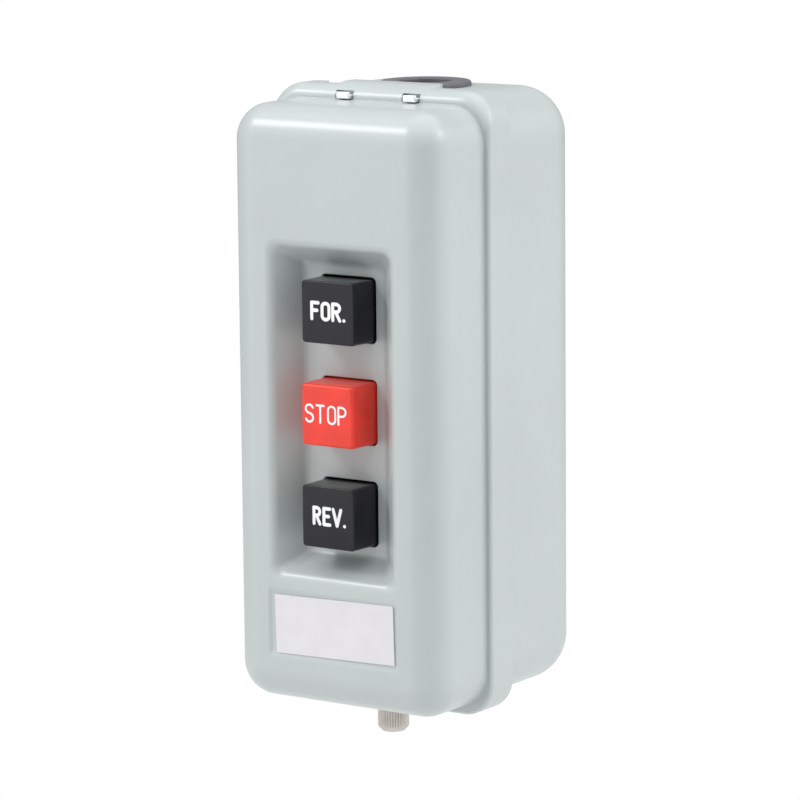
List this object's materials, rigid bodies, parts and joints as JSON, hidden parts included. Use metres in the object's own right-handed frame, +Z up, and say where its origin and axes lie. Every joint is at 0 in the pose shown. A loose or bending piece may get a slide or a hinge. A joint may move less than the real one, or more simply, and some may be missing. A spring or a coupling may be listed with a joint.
{
  "type": "pushbutton switch",
  "caption": "Reversing pushbutton switch: forward, stop and reverse keys in a recess of a drawn sheet-steel wall case with a cable grommet and a thumb screw.",
  "frame": {"origin": "centre of the cover's rim, projected onto the back face that lies on the wall", "axes": "+X to the user's right, -Y out of the wall towards the user, +Z up towards the cable entry"},
  "size_m": [0.0638, 0.065, 0.1582],
  "materials": {
    "case_paint": "smooth light grey enamel",
    "black_rubber": "matt black rubber",
    "zinc_plate": "zinc plated",
    "black_moulding": "black phenolic moulding",
    "contact_brass": "stamped brass",
    "brown_moulding": "brown phenolic moulding",
    "spring_steel": "bright drawn wire",
    "black_key": "satin black plastic",
    "red_key": "satin red plastic",
    "white_plate": "satin white sheet",
    "screw_steel": "dull nickel plated, knurled"
  },
  "bodies": {
    "case": {"base_box": "case_paint", "cable_grommet": "black_rubber", "hook_strip": "zinc_plate", "captive_nut": "zinc_plate", "earth_washer": "zinc_plate", "earth_screw": "zinc_plate", "contact_base": "black_moulding", "chassis_screws": "zinc_plate", "upper_contacts": "contact_brass", "middle_contacts": "contact_brass", "lower_contacts": "contact_brass", "terminal_washers": "zinc_plate", "terminal_screws": "zinc_plate", "guide_hood": "brown_moulding", "hood_screws": "zinc_plate", "forward_spring": "spring_steel", "stop_spring": "spring_steel", "reverse_spring": "spring_steel", "latch_spring": "spring_steel"},
    "cover": {"front_cover": "case_paint", "name_plate": "white_plate"},
    "screw": {"thumb_screw": "screw_steel"},
    "forward": {"forward_key": "black_key", "forward_plunger": "black_moulding", "forward_bridges": "contact_brass"},
    "stop": {"stop_key": "red_key", "stop_plunger": "black_moulding"},
    "reverse": {"reverse_key": "black_key", "reverse_plunger": "black_moulding", "reverse_bridges": "contact_brass"},
    "latch": {"latch_plate": "zinc_plate"}
  },
  "joints": [
    {"name": "forward_press", "type": "slide", "parent": "case", "child": "forward", "axis": [0, 1, 0], "range_m": [0, 0.0045], "stiffness_N_per_m": 350, "springref_m": -0.006, "deforming": ["forward_spring"]},
    {"name": "stop_press", "type": "slide", "parent": "case", "child": "stop", "axis": [0, 1, 0], "range_m": [0, 0.0045], "stiffness_N_per_m": 350, "springref_m": -0.006, "deforming": ["stop_spring"]},
    {"name": "reverse_press", "type": "slide", "parent": "case", "child": "reverse", "axis": [0, 1, 0], "range_m": [0, 0.0045], "stiffness_N_per_m": 350, "springref_m": -0.006, "deforming": ["reverse_spring"]},
    {"name": "latch_slide", "type": "slide", "parent": "case", "child": "latch", "axis": [0, 0, 1], "range_m": [0, 0.0022], "stiffness_N_per_m": 150, "springref_m": -0.002, "deforming": ["latch_spring"]},
    {"name": "cover_slide", "type": "slide", "parent": "case", "child": "cover", "axis": [0, -1, 0], "range_m": [0, 0.035]},
    {"name": "screw_turn", "type": "hinge", "parent": "case", "child": "screw", "pos_m": [0, -0.0385, -0.0751], "axis": [0, 0, 1], "continuous": true}
  ],
  "couplings": [
    {"joint": "latch_slide", "follows": "stop_press", "ratio": 0.4888}
  ]
}
